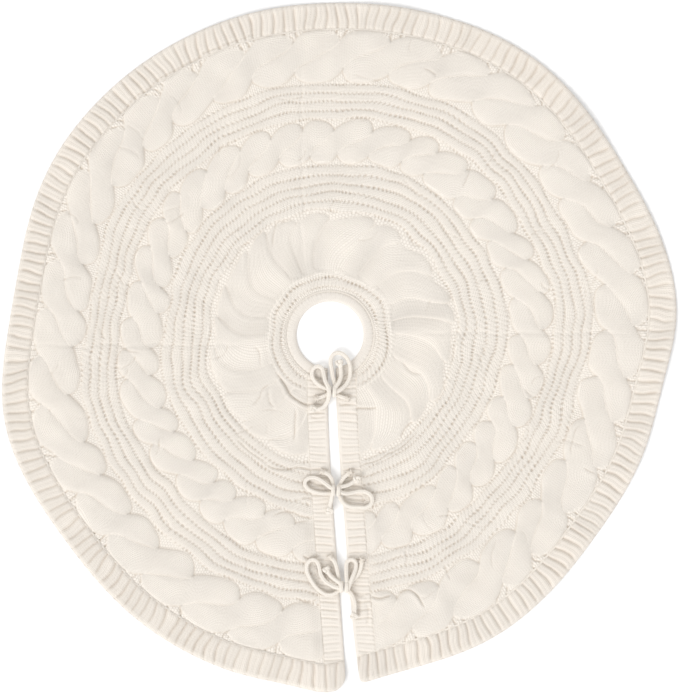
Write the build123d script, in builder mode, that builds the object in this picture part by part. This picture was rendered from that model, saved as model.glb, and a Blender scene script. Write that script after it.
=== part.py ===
"""Knitted tree skirt, laid flat: a cable-knit ring with ribbed edges, slit at the front, with three bows.

Millimetres, +Z up. The origin is the centre of the trunk hole, on the floor. The slit runs towards -Y.
"""
from build123d import *
from math import cos, pi, radians, sin, tan
import os

os.makedirs("parts", exist_ok=True)

# Overall size
HOLE_R = 60.0           # radius of the trunk hole
HEM = [                 # hem outline: angle from +X in degrees, radius
    (-89, 637), (-82, 621), (-60, 615), (-40, 598), (-20, 600), (-7, 604), (2, 620),
    (30, 607), (53, 616), (80, 599), (110, 593), (135, 590), (155, 581), (170, 570),
    (181, 580), (195, 603), (215, 600), (235, 615), (255, 628), (265, 634),
]

# Knitted bands, from the hole outwards
COLLAR_WIDTH = 18.0
SEAM_WIDTH = 3.0        # linking seams between the knitted pieces
CABLE_BANDS = [(0.205, 0.385), (0.515, 0.638), (0.757, 0.905)]  # inner and outer edge, as shares of the hem's
FIELD_EDGE = 0.917      # where the body panel meets the hem seam, as a share of the hem radius
RIB_EDGE = 0.922        # where the hem seam meets the hem ribbing

# Thicknesses
COLLAR_T = 7.0
SEAM_T = 5.0
SEAM_BASE = 1.0         # the seams lie a little above the floor
FIELD_T = 6.0
CABLE_RISE = 4.0        # how far the cable bands stand above the rest of the body panel
RIB_T = 8.0             # hem ribbing and plackets

# Slit and plackets: hand-set points down each slit edge
SLIT_LEFT = [(-4, -40), (-3, -160), (3, -260), (10, -370), (19, -490), (27, -590), (31, -660)]
SLIT_RIGHT = [(11, -40), (13, -160), (20, -260), (29, -370), (37, -490), (50, -590), (61, -660)]
PLACKET_WIDTH = 36.0
HINGE_GAP = 0.15        # half the gap along the fold creases
REACH = 700.0           # further out than any part of the hem

# Ties
CORD_D = 7.5
KNOT_GAP = 0.15         # half the gap between the two halves of a bow's knot
KNOT_X = 11.0           # one half of a bow's knot
KNOT_Y = 20.0
KNOT_Z = 16.0
KNOT_FILLET = 4.5
KNOT_LIFT = 0.3         # knots lie this far above the plackets
END_KNOT_R = 6.5
TACK = (10.0, 11.0, 8.5)
TACK_FILLET = 2.0

# Each bow: where its knot is split, its centre along Y, and the route of each strand.
# A strand's lead runs from its tack to the knot, its loop leaves the knot and returns to it, and its tail
# ends free.
BOWS = {
    "top": {
        "knot": (3.5, -101),
        "left": {
            "lead": [(-24, -114, 12.2), (-12.7, -110.6, 12.2), (-2, -105.5, 12.3)],
            "loop": [
                (-2, -96.5, 12.3), (-12, -94, 12.4), (-22, -88, 12.4), (-29.5, -80, 12.2),
                (-33, -69.5, 11.5), (-30, -59, 11.2), (-20.5, -54.8, 11.2), (-12.5, -61, 12),
                (-11, -72, 14), (-8, -84, 18), (-2, -94.5, 20.8),
            ],
            "tail": [
                (-2, -106, 20.6), (-3, -117, 17), (-9, -127, 13), (-19, -133, 12.4),
                (-30, -132, 13),
            ],
        },
        "right": {
            "lead": [(31, -114, 12.2), (19.9, -110.6, 12.2), (9, -105.5, 12.3)],
            "loop": [
                (9, -96.5, 12.3), (8, -85, 12.6), (4.5, -73, 12.4), (3, -60, 11.5),
                (0.5, -48, 11), (3, -37, 11), (12, -31, 11), (22, -33, 11),
                (31, -41, 11.2), (36, -53, 11.8), (37, -66, 12.3), (35, -79, 12.6),
                (28, -90, 15.5), (19, -98, 19.5), (9, -103, 20.8),
            ],
            "tail": [
                (9, -94, 20.8), (16, -85, 18.5), (20, -74, 15), (20, -62, 12.8),
                (17, -50.5, 12.5),
            ],
        },
    },
    "middle": {
        "knot": (10.5, -278),
        "left": {
            "lead": [
                (-14, -245, 12.2), (-4, -247.5, 12.2), (3, -256.5, 12.3), (5, -265, 12.3),
                (5, -273.5, 12.3),
            ],
            "loop": [
                (4, -275, 20.4), (-6, -267, 17.5), (-17, -259, 14), (-30, -254, 12.5),
                (-42, -257, 12.3), (-46, -267, 12.3), (-39, -276, 12.4), (-27, -281, 12.5),
                (-14, -284, 12.5), (5, -282.5, 12.3),
            ],
            "tail": [(4, -284, 20.4), (3, -294, 17), (0, -304, 13), (-1, -314, 12.6)],
        },
        "right": {
            "lead": [(36, -246, 12.2), (27, -252, 12.2), (20, -262, 12.3), (16, -273.5, 12.3)],
            "loop": [
                (17, -280, 20.4), (28, -284, 16.5), (41, -282, 13), (54, -279, 12.4),
                (67, -281, 12.3), (76, -290, 12.3), (75, -302, 12.3), (65, -309, 12.3),
                (52, -308, 12.3), (39, -308, 12.4), (27, -304, 12.4), (19, -294, 12.4),
                (16, -282.5, 12.3),
            ],
            "tail": [(17, -271, 20.4), (27, -270, 17), (38, -266, 13.4), (48, -258, 12.8)],
        },
    },
    "bottom": {
        "knot": (25, -450),
        "left": {
            "lead": [
                (1, -397, 12.2), (8, -404, 12.2), (12, -415, 12.3), (14, -427, 12.3),
                (15.5, -437, 12.3), (19, -445.5, 12.3),
            ],
            "loop": [
                (19, -454.5, 12.3), (8, -463, 12.4), (-5, -465, 12.4), (-17, -459, 12.4),
                (-28, -448, 12.3), (-36, -435, 12.4), (-42, -422, 13.4), (-41.5, -409, 14.4),
                (-33, -400.5, 14.8), (-22.5, -404.5, 14.4), (-19, -416, 13.4), (-17, -428, 12.6),
                (-10, -439.5, 14.5), (0, -446, 18.5), (9.5, -450.5, 20.3), (19, -452, 20.8),
            ],
            "tail": [(19, -443.5, 20.8), (9, -437, 18.5), (0, -430, 14), (-6, -420, 12.8)],
        },
        "right": {
            "lead": [
                (57, -403, 12.2), (56, -414, 12.2), (52, -426, 12.3), (43, -437, 12.3),
                (31, -445.5, 12.3),
            ],
            "loop": [
                (30.5, -445, 20.4), (29.5, -432, 17), (29, -418.5, 13.5), (29.5, -405.5, 12.6),
                (38, -400.5, 12.4), (46.8, -405.5, 12.4), (46.8, -417.5, 14.2), (41.5, -430, 18.6),
                (36.5, -442.5, 20.4), (32, -453.5, 20.4),
            ],
            "tail": [
                (31, -454.5, 12.3), (39, -464, 12.4), (44, -476, 12.4), (45, -489, 12.3),
                (43, -502, 12.4),
            ],
        },
    },
}


def outline(ratio):
    """The face inside the hem outline, shrunk towards the hole."""
    points = [(r * ratio * cos(radians(a)), r * ratio * sin(radians(a))) for a, r in HEM]
    with BuildSketch() as face:
        with BuildLine():
            Spline(*points, periodic=True)
        make_face()
    return face.sketch


def disc(radius):
    """A round face about the hole's axis."""
    with BuildSketch() as face:
        Circle(radius)
    return face.sketch


def back_zone():
    """The half behind the fold creases."""
    with BuildSketch() as zone:
        with Locations((0, HINGE_GAP)):
            Rectangle(2 * REACH, REACH, align=(Align.CENTER, Align.MIN))
    return zone.sketch


def front_zone(edge, side, inset=0.0):
    """The quarter in front of the creases on one side of the slit, its slit edge moved in by the inset."""
    points = [(x + side * inset, y) for x, y in edge]
    with BuildSketch() as zone:
        with BuildLine():
            Spline(*points)
            Polyline(
                points[-1],
                (side * REACH, -REACH),
                (side * REACH, -HINGE_GAP),
                (points[0][0], -HINGE_GAP),
                points[0],
            )
        make_face()
    return zone.sketch


def band(zone, outer, inner, thickness, base=0.0):
    """A flat band of knitting between two outlines, within a zone."""
    with BuildPart() as strip:
        with BuildSketch(Plane.XY.offset(base)):
            add(outer)
            add(inner, mode=Mode.SUBTRACT)
            add(zone, mode=Mode.INTERSECT)
        extrude(amount=thickness)
    return strip.part


def body_panel(zone):
    """The cable-knit body panel: a flat field with three raised rings of cables."""
    with BuildPart() as panel:
        add(band(zone, outline(FIELD_EDGE), disc(HOLE_R + COLLAR_WIDTH + SEAM_WIDTH), FIELD_T))
        for inner, outer in CABLE_BANDS:
            add(band(zone, outline(outer), outline(inner), CABLE_RISE, FIELD_T))
    return panel.part


def bend_radius(before, corner, after):
    """The largest arc that leaves a tenth of the shorter run straight."""
    into = Vector(*corner) - Vector(*before)
    out = Vector(*after) - Vector(*corner)
    turn = into.get_angle(out)
    return 0.45 * min(into.length, out.length) / tan(radians(turn) / 2)


def tube(points, name):
    """A round cord along straight runs joined by tangent arcs."""
    bends = [bend_radius(*points[i - 1:i + 2]) for i in range(1, len(points) - 1)]
    with BuildPart() as cord:
        with BuildLine() as path:
            FilletPolyline(*points, radius=bends)
        with BuildSketch(Plane(path.line @ 0, z_dir=path.line % 0)):
            Circle(CORD_D / 2)
        sweep()
    length = path.wire().length
    fullness = cord.part.volume / (length * pi * CORD_D ** 2 / 4)
    radii = [round(r, 1) for r in bends]
    print(name, "radii", radii, "length", round(length, 1), "fullness", round(fullness, 4))
    return cord.part


def tie_cord(routes, name):
    """The cord's three free stretches: lead, loop and tail."""
    with BuildPart() as cord:
        for stretch in ("lead", "loop", "tail"):
            add(tube(routes[stretch], f"{name} {stretch}"))
    return cord.part


def half_knot(split_x, centre_y, side):
    """One strand's half of a bow's knot, flat where the two halves meet."""
    base = RIB_T + KNOT_LIFT
    with BuildPart() as knot:
        with Locations((split_x + side * KNOT_GAP, centre_y, base)):
            Box(KNOT_X, KNOT_Y, KNOT_Z, align=(Align.MIN if side > 0 else Align.MAX, Align.CENTER, Align.MIN))
        meeting = knot.faces().sort_by(Axis.X)[0 if side > 0 else -1]
        free_edges = [edge for edge in knot.edges() if edge not in meeting.edges()]
        fillet(free_edges, radius=KNOT_FILLET)
    return knot.part


def end_knot(tail):
    """The overhand knot that ends a tail."""
    x, y, z = tail[-1]
    with BuildPart() as knot:
        with Locations((x, y, max(z, RIB_T + KNOT_LIFT + END_KNOT_R))):
            Sphere(END_KNOT_R)
    return knot.part


def tack(lead):
    """The sewn patch that holds a tie to its placket, over the cord's first few millimetres."""
    x, y, _ = lead[0]
    length, width, height = TACK
    with BuildPart() as patch:
        with Locations((x, y, RIB_T)):
            Box(length, width, height, align=(Align.CENTER, Align.CENTER, Align.MIN))
        fillet(patch.edges().filter_by(Axis.Z), radius=TACK_FILLET)
        fillet(patch.faces().sort_by(Axis.Z)[-1].edges(), radius=TACK_FILLET)
    return patch.part


def knitted_ring(prefix, zone, field_zone):
    """The pieces that every section has: collar, body panel, hem ribbing and the two seams between them."""
    collar_edge = disc(HOLE_R + COLLAR_WIDTH)
    panel_start = disc(HOLE_R + COLLAR_WIDTH + SEAM_WIDTH)
    return {
        f"{prefix}_collar": band(zone, collar_edge, disc(HOLE_R), COLLAR_T),
        f"{prefix}_collar_seam": band(zone, panel_start, collar_edge, SEAM_T, SEAM_BASE),
        f"{prefix}_body_panel": body_panel(field_zone),
        f"{prefix}_hem_seam": band(zone, outline(RIB_EDGE), outline(FIELD_EDGE), SEAM_T, SEAM_BASE),
        f"{prefix}_hem_rib": band(zone, outline(1.0), outline(RIB_EDGE), RIB_T),
    }


def slit_edge(prefix, edge, side):
    """A placket and the seam that joins it to the body panel."""
    collar = disc(HOLE_R + COLLAR_WIDTH + SEAM_WIDTH)
    strips = {}
    for name, start, width, base, thickness in (
        ("placket", 0.0, PLACKET_WIDTH, 0.0, RIB_T),
        ("placket_seam", PLACKET_WIDTH, SEAM_WIDTH, SEAM_BASE, SEAM_T),
    ):
        with BuildPart() as strip:
            with BuildSketch(Plane.XY.offset(base)):
                add(outline(FIELD_EDGE))
                add(collar, mode=Mode.SUBTRACT)
                add(front_zone(edge, side, start), mode=Mode.INTERSECT)
                add(front_zone(edge, side, start + width), mode=Mode.SUBTRACT)
            extrude(amount=thickness)
        front = strip.part.solids().sort_by(Axis.Y)[0]
        strips[f"{prefix}_{name}"] = Part(front.wrapped)
    return strips


def ties(side_name, side):
    """The three ties of one side, each with its tack, its half of the knot and its end knot."""
    pieces = {}
    for bow, parts in BOWS.items():
        routes = parts[side_name]
        split_x, centre_y = parts["knot"]
        name = f"{bow}_{side_name}"
        pieces[f"{name}_tie"] = tie_cord(routes, name)
        pieces[f"{name}_bow_knot"] = half_knot(split_x, centre_y, side)
        pieces[f"{name}_end_knot"] = end_knot(routes["tail"])
        pieces[f"{name}_tack"] = tack(routes["lead"])
    return pieces


pieces = knitted_ring("back", back_zone(), back_zone())
for side_name, side, edge in (("left", -1, SLIT_LEFT), ("right", 1, SLIT_RIGHT)):
    prefix = f"front_{side_name}"
    field_zone = front_zone(edge, side, PLACKET_WIDTH + SEAM_WIDTH)
    pieces |= knitted_ring(prefix, front_zone(edge, side), field_zone)
    pieces |= slit_edge(prefix, edge, side)
    pieces |= ties(side_name, side)

for name, piece in pieces.items():
    piece.label = name
    export_step(piece, f"parts/{name}.step")
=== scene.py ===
"""Knitted tree skirt laid flat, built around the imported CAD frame.

The knitting is a relief over a flat ring: rope cables, twisted columns between dotted ditches, ribs and
stitches. Polar places are (turn, rho): turn is the angle from the slit, anticlockwise from above, and rho is
the distance from the hole's centre on a skirt with a perfectly round hem.
"""
import bpy
import numpy as np
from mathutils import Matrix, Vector
from mathutils.bvhtree import BVHTree


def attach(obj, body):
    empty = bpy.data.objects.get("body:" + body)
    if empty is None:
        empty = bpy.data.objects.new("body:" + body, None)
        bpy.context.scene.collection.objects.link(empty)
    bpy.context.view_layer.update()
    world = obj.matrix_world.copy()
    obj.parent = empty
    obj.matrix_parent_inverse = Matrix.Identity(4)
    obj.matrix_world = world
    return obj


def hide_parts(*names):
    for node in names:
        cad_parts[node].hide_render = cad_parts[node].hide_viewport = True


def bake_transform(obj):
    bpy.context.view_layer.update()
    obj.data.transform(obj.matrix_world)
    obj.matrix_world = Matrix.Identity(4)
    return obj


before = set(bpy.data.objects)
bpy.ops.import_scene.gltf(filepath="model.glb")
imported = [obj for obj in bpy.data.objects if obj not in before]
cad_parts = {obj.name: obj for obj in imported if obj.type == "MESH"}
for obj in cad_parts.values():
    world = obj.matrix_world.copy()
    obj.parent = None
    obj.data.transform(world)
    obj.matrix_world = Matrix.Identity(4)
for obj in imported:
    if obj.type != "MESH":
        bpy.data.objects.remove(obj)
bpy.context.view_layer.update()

MM = 0.001
TAU = 2 * np.pi

# ---------- sizes shared with the CAD model, in metres
HOLE_R = 60 * MM
COLLAR_EDGE = 78 * MM
SEAM_W = 3 * MM
PLACKET_W = 36 * MM
CORD_D = 7.5 * MM
SLIT = {
    -1: [(-4, -40), (-3, -160), (3, -260), (10, -370), (19, -490), (27, -590), (31, -660)],
    1: [(11, -40), (13, -160), (20, -260), (29, -370), (37, -490), (50, -590), (61, -660)],
}
SIDES = {-1: "left", 1: "right"}

# Each bow, in millimetres: where its knot is split, its centre along Y, and each tie's length and route.
# A route runs from the tack through the knot, round the loop, through the knot again and to the free end.
BOWS = {
    "top": {
        "knot": (3.5, -101),
        "left": (190, [
            (-24, -114, 12.2), (-12.7, -110.6, 12.2), (-2, -105.5, 12.3), (-2, -96.5, 12.3),
            (-12, -94, 12.4), (-22, -88, 12.4), (-29.5, -80, 12.2), (-33, -69.5, 11.5),
            (-30, -59, 11.2), (-20.5, -54.8, 11.2), (-12.5, -61, 12), (-11, -72, 14),
            (-8, -84, 18), (-2, -94.5, 20.8), (-2, -106, 20.6), (-3, -117, 17),
            (-9, -127, 13), (-19, -133, 12.4), (-30, -132, 13),
        ]),
        "right": (255, [
            (31, -114, 12.2), (19.9, -110.6, 12.2), (9, -105.5, 12.3), (9, -96.5, 12.3),
            (8, -85, 12.6), (4.5, -73, 12.4), (3, -60, 11.5), (0.5, -48, 11),
            (3, -37, 11), (12, -31, 11), (22, -33, 11), (31, -41, 11.2),
            (36, -53, 11.8), (37, -66, 12.3), (35, -79, 12.6), (28, -90, 15.5),
            (19, -98, 19.5), (9, -103, 20.8), (9, -94, 20.8), (16, -85, 18.5),
            (20, -74, 15), (20, -62, 12.8), (17, -50.5, 12.5),
        ]),
    },
    "middle": {
        "knot": (10.5, -278),
        "left": (205, [
            (-14, -245, 12.2), (-4, -247.5, 12.2), (3, -256.5, 12.3), (5, -265, 12.3),
            (5, -273.5, 12.3), (4, -275, 20.4), (-6, -267, 17.5), (-17, -259, 14),
            (-30, -254, 12.5), (-42, -257, 12.3), (-46, -267, 12.3), (-39, -276, 12.4),
            (-27, -281, 12.5), (-14, -284, 12.5), (5, -282.5, 12.3), (4, -284, 20.4),
            (3, -294, 17), (0, -304, 13), (-1, -314, 12.6),
        ]),
        "right": (235, [
            (36, -246, 12.2), (27, -252, 12.2), (20, -262, 12.3), (16, -273.5, 12.3),
            (17, -280, 20.4), (28, -284, 16.5), (41, -282, 13), (54, -279, 12.4),
            (67, -281, 12.3), (76, -290, 12.3), (75, -302, 12.3), (65, -309, 12.3),
            (52, -308, 12.3), (39, -308, 12.4), (27, -304, 12.4), (19, -294, 12.4),
            (16, -282.5, 12.3), (17, -271, 20.4), (27, -270, 17), (38, -266, 13.4),
            (48, -258, 12.8),
        ]),
    },
    "bottom": {
        "knot": (25, -450),
        "left": (290, [
            (1, -397, 12.2), (8, -404, 12.2), (12, -415, 12.3), (14, -427, 12.3),
            (15.5, -437, 12.3), (19, -445.5, 12.3), (19, -454.5, 12.3), (8, -463, 12.4),
            (-5, -465, 12.4), (-17, -459, 12.4), (-28, -448, 12.3), (-36, -435, 12.4),
            (-42, -422, 13.4), (-41.5, -409, 14.4), (-33, -400.5, 14.8), (-22.5, -404.5, 14.4),
            (-19, -416, 13.4), (-17, -428, 12.6), (-10, -439.5, 14.5), (0, -446, 18.5),
            (9.5, -450.5, 20.3), (19, -452, 20.8), (19, -443.5, 20.8), (9, -437, 18.5),
            (0, -430, 14), (-6, -420, 12.8),
        ]),
        "right": (228, [
            (57, -403, 12.2), (56, -414, 12.2), (52, -426, 12.3), (43, -437, 12.3),
            (31, -445.5, 12.3), (30.5, -445, 20.4), (29.5, -432, 17), (29, -418.5, 13.5),
            (29.5, -405.5, 12.6), (38, -400.5, 12.4), (46.8, -405.5, 12.4), (46.8, -417.5, 14.2),
            (41.5, -430, 18.6), (36.5, -442.5, 20.4), (32, -453.5, 20.4), (31, -454.5, 12.3),
            (39, -464, 12.4), (44, -476, 12.4), (45, -489, 12.3), (43, -502, 12.4),
        ]),
    },
}

# ---------- bands of the knitting, as values of rho
HEM = 603 * MM
RIB_EDGE = 556 * MM
PANEL_EDGE = 554.5 * MM
PANEL_START = 79.5 * MM
PANEL_PARTS = [  # start and end of each strip of the body panel, and its columns round half the skirt
    (PANEL_START, 226 * MM, 500),
    (226 * MM, 314 * MM, 720),
    (314 * MM, 390 * MM, 860),
    (390 * MM, 458 * MM, 1000),
    (458 * MM, PANEL_EDGE, 1140),
]
BAND_EDGES = np.array([121, 226, 314, 390, 458]) * MM
BAND_MIDDLES = np.array([100, 165, 270, 351, 425, 508]) * MM
ROPES = [  # centre, how far the strands swing, strand half width, lobes round the skirt, strand height
    (351.5 * MM, 15.5 * MM, 22 * MM, 37.5, 2.6 * MM),
    (508.5 * MM, 19.5 * MM, 27.5 * MM, 37.5, 3.2 * MM),
]
SWIRL = (112 * MM, 219 * MM, 21, 4.4 * MM)  # inner and outer edge, lobes and height of the innermost cables
RIBS = 196               # ridges of the hem ribbing
PLACKET_RIB = 14.7 * MM  # width of a ridge of the plackets
DITCHES = [88, 104, 121, 226, 241, 257, 274, 292, 310, 393, 409, 425, 441, 457]  # dotted ditches, in mm
WIDEST_COLUMN = 30       # ditches closer together than this, in mm, have a twisted column between them
BASE = 4.2 * MM          # height of the plain knitting between the raised bands
THINNEST = 1.2 * MM      # the knitting is never pressed thinner than this
SINK = 0.6 * MM          # how far a cable's foot lies below the plain knitting
WALE = 5.2 * MM          # width of one column of stitches
COURSE = 4.4 * MM        # height of one row of stitches
LINK = 4.2 * MM          # length of one stitch of a linking seam
CORD_COURSE = 4.6 * MM   # length of one row of a cord's stitches
UNDERSIDE = 0.2 * MM     # gap between the floor's waves and the underside
EDGE_GAP = 0.2 * MM      # how far the pieces stay back from the slit's edge
END_ZONE = 6 * MM        # the last stretch of a ring beside the slit, which has finer columns
HEM_CURLS = [            # where the hem's corners lift: height, x, y and radius, in mm
    (7, 18, -628, 34),
    (4, 70, -622, 30),
]
HEM_CORNERS = {-1: 22 * MM, 1: 9 * MM}  # radius of the hem's corner on each side of the slit

# Puckers: the depth of each fold in millimetres, which side of it is raised, and its line.
PUCKERS = [
    (3.2, 1, [(-98, -66), (-84, -84), (-74, -106), (-58, -117), (-42, -124), (-18, -125)]),
    (2.0, -1, [(-62, -132), (-60, -150), (-62, -170), (-68, -190)]),
    (1.6, -1, [(-108, -88), (-120, -98), (-124, -112), (-140, -124)]),
    (2.0, -1, [(-36, -146), (-20, -149), (-6, -144)]),
    (1.6, -1, [(12, -120), (26, -123), (42, -119)]),
    (2.0, -1, [(40, -130), (60, -135), (84, -130)]),
    (1.6, 1, [(46, -56), (47, -76), (40, -98)]),
    (2.2, 1, [(-126, -222), (-104, -238), (-80, -242), (-58, -240), (-30, -241), (-2, -238)]),
    (3.0, 1, [(-38, -262), (-24, -267), (-8, -269)]),
    (3.0, 1, [(32, -294), (50, -297), (66, -295)]),
    (2.0, 1, [(20, -266), (48, -271), (80, -284)]),
    (2.0, -1, [(164, -166), (124, -203), (84, -226), (46, -238)]),
    (1.6, -1, [(-170, -186), (-140, -212), (-108, -230)]),
    (1.6, -1, [(-106, -326), (-76, -316), (-48, -327), (-20, -322)]),
    (1.4, 1, [(-66, -296), (-48, -290), (-30, -295)]),
    (2.2, 1, [(-50, -392), (-34, -401), (-16, -398)]),
    (3.0, 1, [(-16, -418), (-8, -436), (8, -452)]),
    (3.2, 1, [(32, -458), (46, -467), (64, -464)]),
    (2.4, 1, [(72, -468), (92, -474), (112, -466)]),
    (2.2, 1, [(120, -464), (140, -455), (158, -466), (170, -488)]),
    (1.8, -1, [(51, -472), (53, -486), (49, -502)]),
    (2.0, -1, [(66, -480), (69, -500), (64, -522)]),
    (1.8, -1, [(-64, -468), (-44, -480), (-24, -474)]),
    (2.0, -1, [(25, -572), (33, -596), (31, -624)]),
    (2.4, 1, [(-398, 378), (-332, 438), (-262, 486), (-190, 520), (-118, 540)]),
]

rng = np.random.default_rng(7)


# ---------- smooth random fields
def make_waves(count, shortest, longest):
    """Random directions, wave numbers and phases for a smooth field."""
    length = np.exp(rng.uniform(np.log(shortest), np.log(longest), count))
    angle = rng.uniform(0, TAU, count)
    return np.cos(angle) * TAU / length, np.sin(angle) * TAU / length, rng.uniform(0, TAU, count)


def field(waves, x, y):
    """A smooth field of about unit size at the given places."""
    kx, ky, phase = waves
    total = np.zeros(np.shape(x))
    for a, b, c in zip(kx, ky, phase):
        total += np.sin(a * x + b * y + c)
    return total / np.sqrt(len(kx) / 2) * 0.7


DRAPE_WAVES = make_waves(14, 0.14, 0.5)
LUMP_WAVES = make_waves(16, 0.035, 0.09)
SHIFT_WAVES = make_waves(14, 0.06, 0.25)
TURN_WAVES = make_waves(14, 0.06, 0.25)


def make_wrinkles(count):
    """Small random wrinkles over the body panel, in the same form as the puckers."""
    wrinkles = []
    for _ in range(count):
        turn, r = rng.uniform(0.12, TAU - 0.12), 560 * np.sqrt(rng.uniform(0.05, 0.9))
        x, y = r * np.sin(turn), -r * np.cos(turn)
        heading, bend, reach = rng.uniform(0, TAU), rng.uniform(-0.7, 0.7), rng.uniform(9, 20)
        line = [(x, y)]
        for _ in range(3):
            x, y = x + reach * np.cos(heading), y + reach * np.sin(heading)
            heading += bend
            line.append((x, y))
        wrinkles.append((rng.uniform(0.5, 1.3), rng.choice([-1, 1]), line))
    return wrinkles


WRINKLES = make_wrinkles(90)


def step(edge0, edge1, x):
    """Smooth step from 0 to 1."""
    t = np.clip((x - edge0) / (edge1 - edge0), 0, 1)
    return t * t * (3 - 2 * t)


# ---------- outline
def hem_samples():
    """The hem's radius round the CAD model, by angle, found with rays from outside towards the hole."""
    far, reach, nearest = 1.0, 0.5, 0.56
    trees = []
    for part in ("back_hem_rib", "front_left_hem_rib", "front_right_hem_rib"):
        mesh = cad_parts[part].data
        points = [v.co for v in mesh.vertices]
        trees.append(BVHTree.FromPolygons(points, [p.vertices for p in mesh.polygons]))
    turns, radii = [], []
    for turn in np.arange(1, 360, 1.5) / 360 * TAU:
        outwards = Vector((np.sin(turn), -np.cos(turn), 0))
        start = outwards * far + Vector((0, 0, 4 * MM))
        hits = [tree.ray_cast(start, -outwards, reach)[3] for tree in trees]
        hits = [hit for hit in hits if hit is not None]
        if hits and far - min(hits) > nearest:
            turns.append(turn)
            radii.append(far - min(hits))
    return np.array(turns), np.array(radii)


HEM_TURNS, HEM_RADII = hem_samples()


def hem_radius(turn):
    return np.interp(np.mod(turn, TAU), HEM_TURNS, HEM_RADII, period=TAU)


def place(turn, rho):
    """Flat x and y of a polar place: round near the hole, and the hem's own shape outside."""
    ratio = hem_radius(turn) / HEM
    r = rho * (1 + (ratio - 1) * step(0.06, 0.30, rho))
    return r * np.sin(turn), -r * np.cos(turn)


SLIT_FIT = {side: np.polyfit([p[1] * MM for p in points], [p[0] * MM for p in points], 4)
            for side, points in SLIT.items()}


def slit_x(side, y):
    """The slit edge's x, which is held steady past the ends of the slit."""
    return np.polyval(SLIT_FIT[side], np.clip(y, -0.66, -0.04))


def edge_turn(side, rho, inset):
    """The turn at which a ring meets the line that runs beside the slit at the given distance."""
    turn = np.full(np.shape(rho), 0.0 if side > 0 else TAU)
    for _ in range(8):
        y = place(turn, rho)[1]
        x = slit_x(side, y) + side * inset
        turn = np.arctan2(x, -y) + (0 if side > 0 else TAU)
    return turn


# ---------- drape of the whole skirt over the floor
def crease(distance, width):
    """A smooth bell, 1 in the middle of a line or spot."""
    return np.exp(-(distance / width) ** 2)


def quarter_round(distance, width):
    """A rounded edge's profile: 0 at the edge, and 1 from the given width on."""
    return np.sqrt(1 - (1 - np.clip(distance / width, 0, 1)) ** 2)


def folds(x, y):
    """Depth of the creases left by folding the skirt for storage: one runs back, one left and one right."""
    depth, width = 1.4 * MM, 4 * MM
    wander = 2.5 * MM * field(LUMP_WAVES, x, y)
    back = crease(x + wander + 50 * MM, width) * step(0.10, 0.16, y) * step(0.50, 0.44, y)
    left = crease(y + wander + 18 * MM, width) * step(-0.12, -0.18, x) * step(-0.56, -0.48, x)
    right = crease(y + wander - 4 * MM, width) * step(0.13, 0.20, x) * step(0.56, 0.48, x)
    return depth * (back + left + right)


def cut_corners(line, passes=2):
    """A smoother line through the middles of the given one's runs."""
    for _ in range(passes):
        inner = np.stack([0.75 * line[:-1] + 0.25 * line[1:], 0.25 * line[:-1] + 0.75 * line[1:]], axis=1)
        line = np.concatenate([line[:1], inner.reshape(-1, 2), line[-1:]])
    return line


def press_fold(height, x, y, depth, lip, line):
    """Presses a groove into a height grid along a line, with a raised lip on one side."""
    reach = 14 * MM
    line = cut_corners(np.array(line) * MM)
    low, high = line.min(axis=0) - reach, line.max(axis=0) + reach
    near = (x > low[0]) & (x < high[0]) & (y > low[1]) & (y < high[1])
    if not near.any():
        return
    spots = np.stack([x[near], y[near]], axis=1)
    gap = np.full(len(spots), 1.0)
    at, raised = np.zeros(len(spots)), np.zeros(len(spots), bool)
    for i, (start, end) in enumerate(zip(line[:-1], line[1:])):
        run = end - start
        t = np.clip((spots - start) @ run / (run @ run), 0, 1)
        off = spots - start - t[:, None] * run
        distance = np.hypot(off[:, 0], off[:, 1])
        closer = distance < gap
        gap = np.where(closer, distance, gap)
        at = np.where(closer, (i + t) / (len(line) - 1), at)
        raised = np.where(closer, (off[:, 0] * run[1] - off[:, 1] * run[0]) * lip > 0, raised)
    fade = step(0, 0.3, at) * step(1, 0.7, at) * depth * MM
    height[near] += fade * (0.5 * crease(gap - 6 * MM, 4 * MM) * raised - crease(gap, 2.4 * MM))


def puckers(x, y):
    """Height of the folds where the ties pull on the knitting, and of small wrinkles all over."""
    wobble = 1.6 * MM
    bent_x = x + wobble * field(LUMP_WAVES, x, y)
    bent_y = y + wobble * field(LUMP_WAVES, y, x)
    height = np.zeros(np.shape(x))
    for depth, lip, line in PUCKERS + WRINKLES:
        press_fold(height, bent_x, bent_y, depth, lip, line)
    return height


def drape(x, y):
    """Height of the underside above the floor: soft waves towards the hem, and its lifted corners."""
    r = np.hypot(x, y)
    turn = np.arctan2(x, -y)
    outer = step(0.30, 0.62, r)
    ruffle = 0.5 + 0.32 * np.sin(9 * turn + 1.1 + 1.5 * np.sin(2 * turn)) + 0.25 * np.sin(17 * turn + 0.4)
    waves = 0.5 + 0.45 * field(DRAPE_WAVES, x, y)
    away = step(0.03, 0.10, np.abs(x - 0.01 - 0.05 * step(0.1, 0.6, -y))) + step(-0.02, 0.02, y)
    height = (5.5 * outer * np.clip(ruffle, 0, 2) + 3.0 * step(0.08, 0.3, r) * np.clip(waves, 0, 2)) * MM
    height = height * np.clip(away, 0.12, 1)
    for tall, curl_x, curl_y, radius in HEM_CURLS:
        height = height + tall * MM * crease(np.hypot(x - curl_x * MM, y - curl_y * MM), radius * MM)
    return height


# ---------- knitted relief
def smooth_max(a, b, blend):
    """The larger of two heights, with a rounded valley of the given size where they meet."""
    near = np.clip(blend - np.abs(a - b), 0, None) / blend
    return np.maximum(a, b) - near * near * blend * 0.25


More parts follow.
